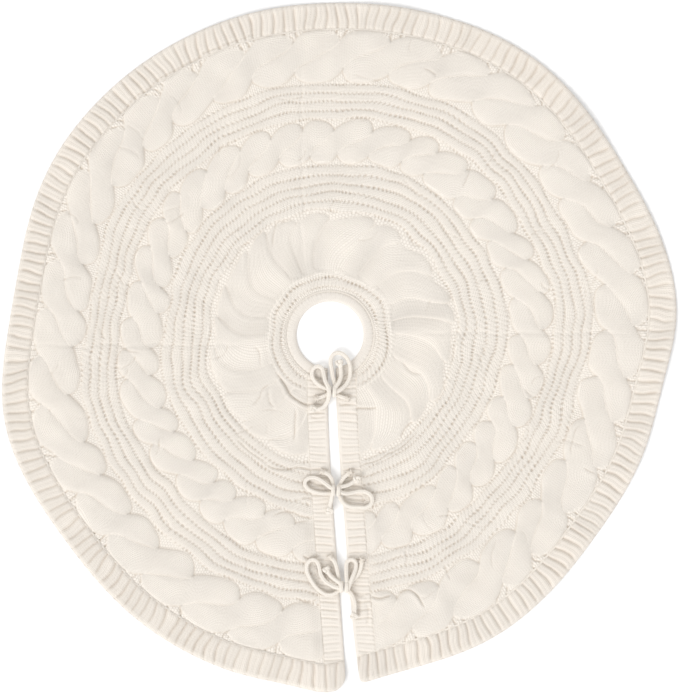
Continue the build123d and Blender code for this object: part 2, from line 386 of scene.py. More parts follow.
def rope(turn, rho, centre, swing, half, lobes, height):
    """Two strands twisted round each other along a ring.

    A strand crosses quickly and then runs beside the other, so its crease is sharp only where it crosses.
    Gives the height, the distance across the strand on top, and the distance outside the nearer strand.
    """
    quick = 1.9
    strands = []
    outside = np.full(rho.shape, 1.0)
    for k in (0, 1):
        phase = turn * lobes / 2 + np.pi * k
        phase = phase + 0.35 * np.cos(phase)
        sway = np.tanh(quick * np.cos(phase)) / np.tanh(quick)
        d = rho - (centre + swing * sway * (0.9 + 0.1 * np.cos(phase) ** 2))
        e = np.abs(d) / half
        crown = np.where(e < 1, np.clip(1 - e ** 2.8, 0, 1) ** 0.6, (1 - e) * 6)
        strands.append((height * (0.40 + 0.42 * np.sin(phase)) + height * 1.3 * crown, d))
        beyond = np.where(d > 0, d - half, 1.6 * (-d - half))
        outside = np.where(np.abs(d) - half < np.abs(outside), beyond, outside)
    (z0, d0), (z1, d1) = strands
    beside = 1 - np.abs(np.sin(turn * lobes / 2 + 0.35 * np.cos(turn * lobes / 2))) ** 2
    blend = height * (0.10 + 1.9 * beside)
    meet = np.abs(z0 - z1) < blend
    z = np.where(meet & (np.minimum(z0, z1) > 0), smooth_max(z0, z1, blend), np.maximum(z0, z1))
    return z, np.where(z0 > z1, d0, d1), outside


def swirl(turn, rho):
    """The innermost cables: strands that leave the collar straight and sweep round to rounded tips.

    Gives the height and the place across the strand, from 0 at its leading crease to 1.
    """
    start, end, lobes, height = SWIRL
    t = np.clip((rho - start) / (end - start), 0, 1.15)
    uneven = 0.05 * np.sin(3 * turn + 1) + 0.03 * np.sin(7 * turn) + 0.02 * np.sin(13 * turn + 2)
    u = np.mod((turn + uneven + np.radians(14.8) * t ** 2.6) * lobes / TAU, 1)
    lead = quarter_round(u, 0.22)
    corner = 1 - quarter_round(u, 0.34)
    ragged = 4 * MM * np.sin(5 * turn + 2) * np.sin(2 * turn)
    out = end - 15 * MM * corner - 6 * MM * step(0.6, 1, u) + ragged
    rim = quarter_round(out - rho, 10 * MM) * quarter_round(rho - start, 16 * MM)
    wales = 0.035 * np.cos(TAU * 5 * u)
    z = height * rim * ((0.25 + 0.75 * lead) * (1 - 0.62 * u ** 1.3) + wales * step(0, 0.2, u))
    return np.where((rho > start) & (rho < out), z, -1.0), u


def twisted_column(turn, rho, low, high):
    """A narrow twist of stitches between two ditches."""
    pitch, height = 15 * MM, 1.5 * MM
    centre = (low + high) / 2
    half = (high - low) / 2
    phase = turn * centre / pitch * TAU
    best = np.full(rho.shape, -1.0)
    for k in (0, 1):
        d = rho - centre - 0.42 * half * np.cos(phase + np.pi * k)
        e = np.clip(np.abs(d) / (0.62 * half), 0, 1)
        z = height * (0.5 + 0.35 * np.sin(phase + np.pi * k)) + height * 0.8 * (1 - e ** 2.2) ** 0.5
        best = np.maximum(best, np.where(e < 1, z, -1.0))
    return best


def press_ditches(height, turn, rho, x, y):
    """Presses the rings of dots into the knitting: uneven dots, in patches of different depth."""
    pitch, width = 7.2 * MM, 2.0 * MM
    for i, at in enumerate(DITCHES):
        uneven = 1.2 * field(LUMP_WAVES, 1.9 * x, 1.9 * y + 0.1 * i)
        dots = 0.5 + 0.5 * np.cos(turn * at * MM / pitch * TAU + uneven)
        patchy = np.clip(0.55 + 1.2 * field(TURN_WAVES, 2.4 * x + 0.1 * i, 2.4 * y), 0.05, 1.5)
        height -= patchy * (0.2 + 1.8 * dots ** 1.5) * MM * crease(rho - at * MM, width)


def panel_edges(height, turn, rho, x, y):
    """The panel's relief, lower towards the seams round its edges and towards the plackets' seams."""
    outer = step(PANEL_EDGE, PANEL_EDGE - 3 * MM, rho)
    inner = step(PANEL_START - 0.5 * MM, PANEL_START + 5 * MM, rho)
    height = height * (0.66 + 0.34 * (outer * inner))
    gap = np.where(turn < np.pi, x - slit_x(1, y), slit_x(-1, y) - x) - PLACKET_W - SEAM_W / 2
    away = np.where(y > -0.05, 1.0, step(-3 * MM, 17 * MM, gap))
    return height - 0.8 * (1 - away) * np.clip(height - BASE - 0.4 * MM, 0, None)


def panel_relief(turn, rho):
    """Height of the body panel's top above its underside, its stitch coordinates and where it is purl."""
    x, y = rho * np.sin(turn), -rho * np.cos(turn)
    inner = step(0.079, 0.10, rho) * step(PANEL_EDGE + 1 * MM, PANEL_EDGE - 12 * MM, rho)
    bent_rho = rho + inner * (2.9 * field(SHIFT_WAVES, x, y) + 0.7 * field(LUMP_WAVES, x, y)) * MM
    bent_turn = turn + inner * 6.0 * MM * field(TURN_WAVES, x, y) / rho
    height = np.full(rho.shape, BASE)
    across = bent_rho.copy()
    purl = np.ones(rho.shape)
    for low, high in zip(DITCHES[:-1], DITCHES[1:]):
        if high - low > WIDEST_COLUMN:
            continue
        column = twisted_column(bent_turn, bent_rho, low * MM, high * MM)
        height = np.maximum(height, BASE + column)
        purl = np.where(column > 0.2 * MM, 0.0, purl)
    press_ditches(height, bent_turn, bent_rho, x, y)
    filler = rib_height(bent_turn, rho, x, y)
    height = np.where(rho > 520 * MM, filler * 0.85, height)
    for centre, swing, half, lobes, tall in ROPES:
        z, d, outside = rope(bent_turn, bent_rho, centre, swing, half, lobes, tall)
        lift = BASE - SINK + z
        height -= 1.5 * MM * crease(outside - 0.8 * MM, 1.8 * MM)
        top = (z > 0) & (lift > height)
        height = np.where(top, lift, height)
        across = np.where(top, d, across)
        purl = np.where(top, 0.0, purl)
    z, u = swirl(bent_turn, bent_rho)
    top = z > 0
    height = np.where(top, np.maximum(height, BASE - SINK + z), height)
    across = np.where(top, u * 9 * WALE, across)
    purl = np.where(top, 0.0, purl)
    along = np.where(top, rho, turn * BAND_MIDDLES[np.searchsorted(BAND_EDGES, rho)])
    height = panel_edges(height, turn, rho, x, y) + 0.6 * MM * field(LUMP_WAVES, x, y)
    return height, across / WALE, along / COURSE, purl


def rib_profile(phase):
    """A rounded ridge for each whole turn of the phase, with a narrow groove between."""
    wave = np.abs(np.cos(phase / 2))
    return 1 - (1 - wave) ** 2.2


def rib_phase(turn, rho, x, y):
    """Counts the hem's ridges round the skirt, a little unevenly."""
    wander = 1.5 * field(SHIFT_WAVES, 0.8 * x, 0.8 * y) + 0.5 * field(TURN_WAVES, 2.5 * x, 2.5 * y)
    return turn * RIBS + wander + 9 * (rho - 0.58)


def rib_height(turn, rho, x, y):
    """Height of the ribbing: rounded ridges with two columns of stitches each."""
    floor_height, rise = 2.4 * MM, 5.0 * MM
    phase = rib_phase(turn, rho, x, y)
    ridge = rib_profile(phase)
    deep = np.clip(1.05 + 0.3 * field(DRAPE_WAVES, 2 * x, 2 * y), 0.6, 1.35)
    middle = step(0.515, 0.562, rho) * step(0.603, 0.586, rho)
    columns = -0.6 * np.cos(phase * 2) * MM
    return floor_height + rise * (1 - (1 - ridge) * deep * (0.35 + 0.65 * middle)) + columns * ridge


def rib_relief(turn, rho):
    """The hem's ribbing, rolled over at its outer edge."""
    x, y = rho * np.sin(turn), -rho * np.cos(turn)
    phase = rib_phase(turn, rho, x, y)
    out = HEM - 1.3 * MM * (1 - rib_profile(phase))
    roll = np.maximum(quarter_round(out - rho, 7 * MM), 0.12)
    height = rib_height(turn, rho, x, y) * (0.7 + 0.3 * step(0, 5 * MM, rho - RIB_EDGE)) * roll
    return height, phase / TAU * 4, rho / COURSE, np.zeros(rho.shape)


def collar_relief(turn, rho):
    """The smooth collar: a soft roll round the hole, gathered a little at its seam."""
    roll = np.maximum(quarter_round(rho - HOLE_R, 6 * MM), 0.15)
    t = (rho - HOLE_R) / (COLLAR_EDGE - HOLE_R)
    pleats = np.sin(turn * 62 + 2 * np.sin(3 * turn)) * step(0.4, 1, t)
    height = (5.2 + 1.3 * np.sin(np.pi * np.clip(t * 0.9 + 0.1, 0, 1)) + 0.5 * pleats) * MM
    height = height * roll * (0.55 + 0.45 * step(1.08, 0.8, t))
    return height, rho / COURSE, turn * (HOLE_R + COLLAR_EDGE) / 2 / (4.0 * MM), np.zeros(rho.shape)


# ---------- mesh building
def add_object(name, data):
    obj = bpy.data.objects.new(name, data)
    bpy.context.scene.collection.objects.link(obj)
    return obj


def smooth_faces(mesh):
    mesh.polygons.foreach_set("use_smooth", np.ones(len(mesh.polygons), bool))


def quads(ids):
    """The faces between the neighbouring points of a grid."""
    return np.stack([ids[:-1, :-1], ids[1:, :-1], ids[1:, 1:], ids[:-1, 1:]], axis=-1).reshape(-1, 4)


def rim_walls(top_ids, low_ids, low_rows, low_cols):
    """Faces round a sheet's rim: each joins a run of fine points to one edge of the coarser underside."""
    walls = []
    for line, low_line, marks, forward in (
        (top_ids[0, :], low_ids[0, :], low_cols, True),
        (top_ids[-1, :], low_ids[-1, :], low_cols, False),
        (top_ids[:, 0], low_ids[:, 0], low_rows, False),
        (top_ids[:, -1], low_ids[:, -1], low_rows, True),
    ):
        for i in range(len(marks) - 1):
            fine = [int(v) for v in line[marks[i]:marks[i + 1] + 1]]
            loop = fine + [int(low_line[i + 1]), int(low_line[i])]
            walls.append(loop if forward else loop[::-1])
    return walls


def mesh_of(name, verts, loops, counts):
    """A smooth mesh from its points, the corners of its faces and the number of corners of each face."""
    mesh = bpy.data.meshes.new(name)
    mesh.vertices.add(len(verts))
    mesh.vertices.foreach_set("co", verts.astype(np.float32).ravel())
    mesh.loops.add(len(loops))
    mesh.loops.foreach_set("vertex_index", loops)
    mesh.polygons.add(len(counts))
    starts = np.concatenate([[0], np.cumsum(counts)[:-1]]).astype(np.int32)
    mesh.polygons.foreach_set("loop_start", starts)
    mesh.update(calc_edges=True)
    mesh.validate()
    smooth_faces(mesh)
    return mesh


def rim_normals(normals, faces):
    """A grid's own normals for the face corners on its rim, and zero, which changes nothing, inside."""
    rim = np.ones(normals.shape[:2], bool)
    rim[1:-1, 1:-1] = False
    corners = faces.ravel()
    return normals.reshape(-1, 3)[corners] * rim.ravel()[corners][:, None]


def closed_sheet(name, top, bottom, uv, plain_uv, tints, top_normals):
    """A closed mesh from a fine grid of top points and a coarser grid of bottom points.

    top and bottom are (rows, columns, 3) on the same grid, and the bottom uses every second row and column.
    uv holds the top's stitch coordinates and plain_uv the underside's. tints holds grids of values by name.
    """
    rows, cols = top.shape[:2]
    top_ids = np.arange(rows * cols).reshape(rows, cols)
    low_rows = sorted(set(range(0, rows, 2)) | {rows - 1})
    low_cols = sorted(set(range(0, cols, 2)) | {cols - 1})
    low = bottom[np.ix_(low_rows, low_cols)]
    low_ids = rows * cols + np.arange(len(low_rows) * len(low_cols)).reshape(len(low_rows), len(low_cols))
    verts = np.concatenate([top.reshape(-1, 3), low.reshape(-1, 3)])
    faces_top = quads(top_ids)
    faces_low = quads(low_ids)[:, ::-1]
    walls = rim_walls(top_ids, low_ids, low_rows, low_cols)
    a, b, c = verts[faces_top[0, :3]]
    if np.cross(b - a, c - a)[2] <= 0:
        faces_top = faces_top[:, ::-1]
        faces_low = faces_low[:, ::-1]
        walls = [w[::-1] for w in walls]
    counts = [np.full(len(faces_top) + len(faces_low), 4), [len(w) for w in walls]]
    loops = np.concatenate([faces_top.ravel(), faces_low.ravel(), np.concatenate(walls)]).astype(np.int32)
    mesh = mesh_of(name, verts, loops, np.concatenate(counts).astype(np.int32))
    top_loops, quad_loops = faces_top.size, faces_top.size + faces_low.size
    all_uv = np.concatenate([uv.reshape(-1, 2), plain_uv[np.ix_(low_rows, low_cols)].reshape(-1, 2)])
    corner_uv = all_uv[loops]
    face_uv = corner_uv[:quad_loops].reshape(-1, 4, 2)
    torn = (np.ptp(face_uv, axis=1) > 1.5).any(axis=1)
    face_uv[torn] = face_uv[torn][:, :1]
    layer = mesh.uv_layers.new(name="stitches")
    layer.data.foreach_set("uv", corner_uv.astype(np.float32).ravel())
    for tint, amounts in tints.items():
        below = amounts.max() if tint == "purl" else 0.0
        values = np.concatenate([amounts.ravel(), np.full(low_ids.size, below)])
        layer = mesh.attributes.new(tint, "FLOAT", "POINT")
        layer.data.foreach_set("value", values.astype(np.float32))
    normals = np.zeros((len(loops), 3), np.float32)
    normals[:top_loops] = rim_normals(top_normals, faces_top)
    normals[top_loops:quad_loops] = rim_normals(-grid_normals(low), faces_low - rows * cols)
    mesh.normals_split_custom_set(normals)
    return add_object(name, mesh)


def soften(grid, passes=1):
    """Blurs a grid by about one cell, so that steep creases don't turn into steps."""
    for _ in range(passes):
        grid = np.pad(grid, 1, mode="edge")
        grid = (grid[:-2] + 2 * grid[1:-1] + grid[2:]) / 4
        grid = (grid[:, :-2] + 2 * grid[:, 1:-1] + grid[:, 2:]) / 4
    return grid


def painted_crease_shade(height):
    """Painted shade for the relief's creases, from 0 to 1: where it is lower than its surroundings, in narrow
    creases and wider pits.
    """
    crack = np.clip((soften(height, 2) - height - 0.05 * MM) / (0.35 * MM), 0, 1)
    pit = np.clip((soften(height, 6) - height - 0.1 * MM) / (1.1 * MM), 0, 0.8)
    return np.maximum(crack, pit)


def grid_normals(points):
    """Normals of a grid of points by central differences."""
    du = np.gradient(points, axis=0)
    dv = np.gradient(points, axis=1)
    n = np.cross(du, dv)
    n /= np.maximum(np.linalg.norm(n, axis=-1, keepdims=True), 1e-12)
    return n * np.sign(n[..., 2:3] + 1e-9)


def slit_roll(side, x, y, width):
    """Rounds a piece down at the slit's edge."""
    roll = quarter_round((x - slit_x(side, y)) * side, width)
    return np.maximum(np.where(y > -0.03, 1, roll), 0.12)


def ring_grid(side, rhos, columns, inset, corner):
    """The turns and radii of a ring's points, from the back of the skirt round to the slit.

    The grid has a spare row on each side and a spare column at the back, for smoothing. Its outer corner at
    the slit is rounded, and the third result is how far that draws the edge back in each row.
    """
    grow = [rhos[0] - (rhos[1] - rhos[0]), *rhos, rhos[-1] + (rhos[-1] - rhos[-2])]
    rho_line = np.array(grow)[:, None]
    end = edge_turn(side, rho_line, inset)
    fine = END_ZONE / (np.pi * rho_line)
    s = np.concatenate([[-1.0 / columns], np.arange(columns + 1) / columns])[None, :] * (1 - fine)
    tail = 1 - fine * np.array([0.75, 0.5, 0.3, 0.15, 0.05, 0.0])[None, :]
    s = np.concatenate([s, tail], axis=1)
    turn = np.pi + s * (end - np.pi)
    cut = np.zeros(rho_line.shape)
    if corner:
        cut = corner * (1 - quarter_round(rhos[-1] - rho_line, corner))
        drawn_back = np.clip(1 + (s - 1) * np.pi * rho_line / (2.5 * corner), 0, 1)
        turn = turn + side * cut / rho_line * drawn_back
    return turn, np.repeat(rho_line, turn.shape[1], axis=1), cut


def ring_piece(name, side, rhos, columns, relief, inset=EDGE_GAP, roll=None, shade=1.0, corner=0.0):
    """One strip of a ring of knitting, with its end at the slit rolled down over the given width."""
    rhos = np.asarray(rhos)
    turn, rho, cut = ring_grid(side, rhos, columns, inset, corner)
    x, y = place(turn, rho)
    height, across, along, purl = relief(turn, rho)
    height = soften(height) + puckers(x, y) * step(0.085, 0.10, rho) * step(0.60, 0.585, rho)
    # Painted shade in the relief's creases and pits, scaled by shade and carried to the material as a tint.
    painted_shade = painted_crease_shade(height) * shade
    if roll:
        height = height * slit_roll(side, x - side * cut, y, roll)
    height = np.maximum(height - folds(x, y), THINNEST)
    base = drape(x, y)
    top = np.stack([x, y, base + height], axis=-1)
    bottom = np.stack([x, y, base + UNDERSIDE + 0.2 * np.clip(height - BASE, 0, None)], axis=-1)
    uv = np.stack([across, along], axis=-1)
    plain_uv = np.stack([rho / WALE, turn * rhos.mean() / COURSE], axis=-1)
    grids = [grid[1:-1, 1:] for grid in (top, bottom, uv, plain_uv, purl, painted_shade, grid_normals(top))]
    return closed_sheet(name, *grids[:4], {"purl": grids[4], "hollow": grids[5]}, grids[6])


def rounded(low, high, pitch, edge_low=False, edge_high=False):
    """Radii from low to high about a pitch apart, closer together where an edge rolls over."""
    count = max(2, round((high - low) / pitch))
    radii = list(np.linspace(low, high, count + 1))
    near = np.array([0.25, 0.7]) * MM
    if edge_low:
        radii += list(low + near)
    if edge_high:
        radii += list(high - near)
    return sorted(radii)


def placket_relief(along, across):
    """A placket: ridges across the strip, which fade out in the plain edge beside the slit."""
    phase = along / PLACKET_RIB * TAU + 0.35 * np.sin(along * 31) + 0.5 * np.sin(across * 90 + along * 47)
    ridge = 1 - (1 - rib_profile(phase)) * (0.2 + 0.8 * step(2 * MM, 10 * MM, across))
    soft = 0.75 + 0.25 * np.sin(along * 53 + 1)
    columns = 0.4 * np.cos(phase * 2) * step(4 * MM, 12 * MM, across)
    height = (3.7 + (3.1 * soft - columns) * ridge) * MM
    return height * (0.85 + 0.15 * quarter_round(PLACKET_W - across, 4 * MM)), phase / TAU * 4


def strip_line(side, inset):
    """The highest and lowest y of the line beside the slit: from the collar seam down to the hem seam."""
    collar = COLLAR_EDGE + SEAM_W
    top = np.full(np.shape(inset), -collar)
    low = np.full(np.shape(inset), -PANEL_EDGE)
    for _ in range(8):
        x = slit_x(side, top) + side * inset
        top = -np.sqrt(collar ** 2 - x ** 2)
        x = slit_x(side, low) + side * inset
        reach = hem_radius(np.arctan2(x, -low)) * (PANEL_EDGE / HEM)
        low = -np.sqrt(reach ** 2 - x ** 2)
    return top, low


def strip_piece(name, side, insets, rows, relief, shade):
    """A strip beside the slit, from the collar to the hem ribbing."""
    inset = np.asarray(insets)[None, :]
    top_y, low_y = strip_line(side, inset)
    t = np.linspace(0, 1, rows + 1)[:, None]
    y = top_y + (low_y - top_y) * t
    x = slit_x(side, y) + side * inset
    height, phase = relief(-y, inset + 0 * y)
    height = np.maximum(height + puckers(x, y), THINNEST)
    # Painted shade in the relief's creases and pits, scaled by shade and carried to the material as a tint.
    painted_shade = painted_crease_shade(height) * shade
    height = height * slit_roll(side, x, y, 5 * MM)
    base = drape(x, y)
    top = np.stack([x, y, base + height], axis=-1)
    bottom = np.stack([x, y, base + UNDERSIDE], axis=-1)
    uv = np.stack([phase, (inset + 0 * y) / COURSE], axis=-1)
    return closed_sheet(name, top, bottom, uv, uv, {"hollow": painted_shade}, grid_normals(top))


def link_relief(turn, rho):
    """The linking seam: a row of small rounded stitches."""
    phase = turn * rho / LINK * np.pi
    middle = 1 - np.abs((rho - rho.mean(axis=0, keepdims=True)) / (rho.max() - rho.min()) * 2) ** 2
    height = (3.6 + 1.5 * np.abs(np.sin(phase)) ** 0.7 * np.clip(middle, 0, 1)) * MM
    return height, phase / np.pi, rho / COURSE, np.zeros(rho.shape)


def link_strip(along, across):
    """The placket's linking seam."""
    phase = along / LINK * np.pi
    middle = 1 - np.abs((across - PLACKET_W - SEAM_W / 2) / (SEAM_W / 2)) ** 2
    return (4.0 + 0.9 * np.abs(np.sin(phase)) ** 0.7 * np.clip(middle, 0, 1)) * MM, phase / np.pi


# ---------- cords
def spline_path(route, resolution):
    """Points along the smooth NURBS line of a route."""
    curve = bpy.data.curves.new("route", "CURVE")
    curve.dimensions = "3D"
    spline = curve.splines.new("NURBS")
    spline.points.add(len(route) - 1)
    for point, place_mm in zip(spline.points, route):
        point.co = (*[v * MM for v in place_mm], 1)
    spline.order_u = 3
    spline.use_endpoint_u = True
    spline.resolution_u = resolution
    carrier = bpy.data.objects.new("route", curve)
    mesh = bpy.data.meshes.new_from_object(carrier)
    points = np.array([v.co[:] for v in mesh.vertices])
    bpy.data.objects.remove(carrier)
    bpy.data.meshes.remove(mesh)
    bpy.data.curves.remove(curve)
    return points


def even_points(points, spacing):
    """The same line with points at an even spacing."""
    run = np.concatenate([[0], np.cumsum(np.linalg.norm(np.diff(points, axis=0), axis=1))])
    count = max(8, int(run[-1] / spacing))
    at = np.linspace(0, run[-1], count + 1)
    return np.stack([np.interp(at, run, points[:, i]) for i in range(3)], axis=1), at


def line_frames(points, closed=False):
    """Directions across a line, carried along it without twist."""
    if closed:
        tangents = np.roll(points, -1, axis=0) - np.roll(points, 1, axis=0)
    else:
        tangents = np.gradient(points, axis=0)
    tangents /= np.linalg.norm(tangents, axis=1, keepdims=True)
    side = np.cross(tangents[0], (0.1, 0.2, 1.0))
    first = []
    for t in tangents:
        side = side - t * np.dot(side, t)
        side /= np.linalg.norm(side)
        first.append(side)
    first = np.array(first)
    return first, np.cross(tangents, first)


def tube_points(line, radius, theta, closed=False):
    """Rings of points round a line."""
    first, second = line_frames(line, closed)
    cos, sin = np.cos(theta)[None, :, None], np.sin(theta)[None, :, None]
    return line[:, None, :] + radius * (cos * first[:, None, :] + sin * second[:, None, :])


def tube_faces(rows, around, closed=False, base=0):
    """The faces between rings of points, with a cap at each end unless the tube is a closed loop."""
    ids = base + np.arange(rows * around).reshape(rows, around)
    ahead = np.roll(ids, -1, axis=0)
    corners = [ids, np.roll(ids, -1, axis=1), np.roll(ahead, -1, axis=1), ahead]
    sides = np.stack(corners, axis=-1)
    if closed:
        return sides.reshape(-1, 4).tolist()
    return sides[:-1].reshape(-1, 4).tolist() + [ids[0, ::-1].tolist(), ids[-1].tolist()]


def knit_tube(name, points, radius, wales=4, around=32, closed=False):
    """A knitted cord with wales along it and rows of V stitches. Its ends are rounded unless it is a loop."""
    if closed:
        points = np.concatenate([points, points[:1]])
    line, at = even_points(points, 0.8 * MM)
    if closed:
        line, at = line[:-1], at[:-1]
    theta = np.arange(around) / around * TAU
    wale = theta / TAU * wales
    centre = np.abs(np.mod(wale, 1) - 0.5) * 2
    ridge = np.sqrt(1 - centre ** 2.5)[None, :]
    row = np.abs(np.sin(np.pi * (at[:, None] / CORD_COURSE + 0.45 * centre[None, :])))
    r = radius * (0.83 + 0.14 * ridge + 0.06 * row * ridge)
    if not closed:
        ends = np.minimum(at, at[-1] - at)[:, None]
        r = r * np.sqrt(1 - (1 - np.clip(ends / (0.9 * radius), 0, 1)) ** 2 * 0.97)
    verts = tube_points(line, r[..., None], theta, closed).reshape(-1, 3)
    mesh = bpy.data.meshes.new(name)
    mesh.from_pydata(verts.tolist(), [], tube_faces(len(line), around, closed))
    mesh.update()
    layer = mesh.uv_layers.new(name="stitches")
    vertex = np.empty(len(mesh.loops), np.int32)
    mesh.loops.foreach_get("vertex_index", vertex)
    uv = np.stack([np.tile(wale, len(line)), np.repeat(at / CORD_COURSE, around)], axis=-1)
    layer.data.foreach_set("uv", uv[vertex].astype(np.float32).ravel())
    smooth_faces(mesh)
    return add_object(name, mesh)


def bow_knot(name, split_x, centre_y, side):
    """One half of a bow's knot: the cord wrapped round the loops where they cross."""
    t = np.linspace(0, TAU, 48, endpoint=False)
    x = split_x + side * (4.4 + 0.5 * np.sin(t + 0.8 * side))
    y = centre_y + 7.2 * np.cos(t)
    z = 17.8 + 5.9 * np.sin(t)
    points = np.stack([x, y, z], axis=1) * MM
    return knit_tube(name, points, 3.7 * MM, closed=True)


def end_knot(name, centre, turned):
    """The overhand knot at a tie's free end."""
    t = np.linspace(0, TAU, 72, endpoint=False)
    x = np.sin(t) + 2 * np.sin(2 * t)
    y = np.cos(t) - 2 * np.cos(2 * t)
    points = np.stack([1.7 * (x * np.cos(turned) - y * np.sin(turned)),
                       1.7 * (x * np.sin(turned) + y * np.cos(turned)), -2.0 * np.sin(3 * t)], axis=1)
    return knit_tube(name, (points + np.array(centre)) * MM, 3.0 * MM, wales=3, around=20, closed=True)


def tack_stitches(name, lead):
    """Whip stitches over the first few millimetres of a tie."""
    start, ahead = np.array(lead[0]), np.array(lead[1])
    along = (ahead - start) / np.linalg.norm(ahead - start)
    across = np.array([-along[1], along[0], 0])
    sides, thread = 8, 0.95
    verts, faces = [], []
    t = np.linspace(0, np.pi, 18)[:, None]
    theta = np.arange(sides) / sides * TAU
    for offset, lean in ((-2.6, 1.2), (0.2, -1.0), (3.0, 1.4), (0.0, 4.4), (0.6, -4.2)):
        centre = start + along * offset
        line = centre + across * 4.9 * np.cos(t) + along * lean * np.cos(t)
        line[:, 2] = 7.4 + 9.4 * np.sin(t[:, 0])
        faces += tube_faces(len(line), sides, base=len(verts))
        verts += (tube_points(line, thread, theta).reshape(-1, 3) * MM).tolist()
    mesh = bpy.data.meshes.new(name)
    mesh.from_pydata(verts, [], faces)
    smooth_faces(mesh)
    return add_object(name, mesh)


# ---------- materials
def node(tree, kind, **settings):
    n = tree.nodes.new(kind)
    for key, value in settings.items():
        setattr(n, key, value)
    return n


def set_inputs(n, values):
    for key, value in values.items():
        n.inputs[key].default_value = value


def math(tree, operation, a, b=None, clamp=False):
    n = tree.nodes.new("ShaderNodeMath")
    n.operation = operation
    n.use_clamp = clamp
    for socket, value in zip(n.inputs, (a, b)):
        if value is None:
            continue
        if isinstance(value, (int, float)):
            socket.default_value = value
        else:
            tree.links.new(value, socket)
    return n.outputs[0]


def mix_colour(tree, factor, first, second):
    n = tree.nodes.new("ShaderNodeMix")
    n.data_type = "RGBA"
    for socket, value in ((n.inputs[0], factor), (n.inputs[6], first), (n.inputs[7], second)):
        if isinstance(value, (tuple, list)):
            socket.default_value = (*value, 1.0)
        elif isinstance(value, (int, float)):
            socket.default_value = value
        else:
            tree.links.new(value, socket)
    return n.outputs[2]


def stitch_height(tree):
    """Height of the yarn from the stitch coordinates: V stitches, and bumps where the purl mark is set."""
    def calc(operation, a, b=None):
        return math(tree, operation, a, b)

    uv = node(tree, "ShaderNodeUVMap", uv_map="stitches")
    split = node(tree, "ShaderNodeSeparateXYZ")
    tree.links.new(uv.outputs[0], split.inputs[0])
    across, along = split.outputs[0], split.outputs[1]
    centre = calc("ABSOLUTE", calc("SUBTRACT", calc("FRACT", across), 0.5))
    leg = calc("SINE", calc("MULTIPLY", centre, TAU))
    slant = calc("ADD", along, calc("MULTIPLY", centre, 1.3))
    yarn = calc("ABSOLUTE", calc("SINE", calc("MULTIPLY", slant, np.pi)))
    legs = calc("POWER", calc("MAXIMUM", leg, 0.0), 0.6)
    rows = calc("ADD", calc("MULTIPLY", calc("POWER", yarn, 0.7), 0.65), 0.35)
    vee = calc("MULTIPLY", legs, rows)
    shifted = calc("ADD", across, calc("MULTIPLY", calc("FLOOR", along), 0.5))
    beside = calc("SUBTRACT", calc("FRACT", shifted), 0.5)
    above = calc("SUBTRACT", calc("FRACT", along), 0.5)
    wide = calc("MULTIPLY", calc("MULTIPLY", beside, beside), 3.4)
    tall = calc("MULTIPLY", calc("MULTIPLY", above, above), 3.9)
    dome = calc("SUBTRACT", 1.0, calc("ADD", wide, tall))
    bumps = calc("POWER", calc("MAXIMUM", dome, 0.0), 0.7)
    mark = node(tree, "ShaderNodeAttribute", attribute_name="purl").outputs["Fac"]
    plain = calc("MULTIPLY", vee, calc("SUBTRACT", 1.0, mark))
    return calc("ADD", plain, calc("MULTIPLY", bumps, mark))


def knit_material(name, light, painted_shade, stitch_depth):
    """Chunky cream yarn: stitches and fibres in the bump, painted shade between the stitches and in creases,
    softly mottled.
    """
    material = bpy.data.materials.new(name)
    material.use_nodes = True
    tree = material.node_tree
    shader = tree.nodes["Principled BSDF"]
    set_inputs(shader, {"Roughness": 0.92, "Specular IOR Level": 0.2})
    set_inputs(shader, {"Sheen Weight": 0.25, "Sheen Roughness": 0.5})
    stitch = stitch_height(tree)
    where = node(tree, "ShaderNodeTexCoord")
    fibres = node(tree, "ShaderNodeTexNoise")
    set_inputs(fibres, {"Scale": 900.0, "Detail": 3.0})
    mottle = node(tree, "ShaderNodeTexNoise")
    set_inputs(mottle, {"Scale": 9.0, "Detail": 4.0})
    for texture in (fibres, mottle):
        tree.links.new(where.outputs["Object"], texture.inputs["Vector"])
    # Where the stitch height is low, between the stitches, the colour turns to painted shade; the fibre noise
    # adds random tone.
    tone = math(tree, "ADD", math(tree, "MULTIPLY", stitch, 0.75),
                math(tree, "MULTIPLY", fibres.outputs["Fac"], 0.35), clamp=True)
    colour = mix_colour(tree, tone, painted_shade, light)
    patch = math(tree, "MULTIPLY", math(tree, "SUBTRACT", mottle.outputs["Fac"], 0.45), 3.0, clamp=True)
    warm = (light[0] * 0.995, light[1] * 0.975, light[2] * 0.95)
    colour = mix_colour(tree, math(tree, "MULTIPLY", patch, 0.5), colour, warm)
    # Painted shade: the relief's creases and pits are mixed towards a brown.
    hollow = node(tree, "ShaderNodeAttribute", attribute_name="hollow")
    colour = mix_colour(tree, math(tree, "MULTIPLY", hollow.outputs["Fac"], 0.55), colour, CREASE_SHADE_COLOUR)
    tree.links.new(colour, shader.inputs["Base Color"])
    height = math(tree, "ADD", stitch, math(tree, "MULTIPLY", fibres.outputs["Fac"], 0.35))
    bump = node(tree, "ShaderNodeBump")
    set_inputs(bump, {"Strength": 0.8, "Distance": stitch_depth})
    tree.links.new(height, bump.inputs["Height"])
    tree.links.new(bump.outputs[0], shader.inputs["Normal"])
    return material


# Colour of the painted shade in the relief's creases and pits.
CREASE_SHADE_COLOUR = (0.53, 0.45, 0.365)
LIGHT = (0.842, 0.792, 0.726)
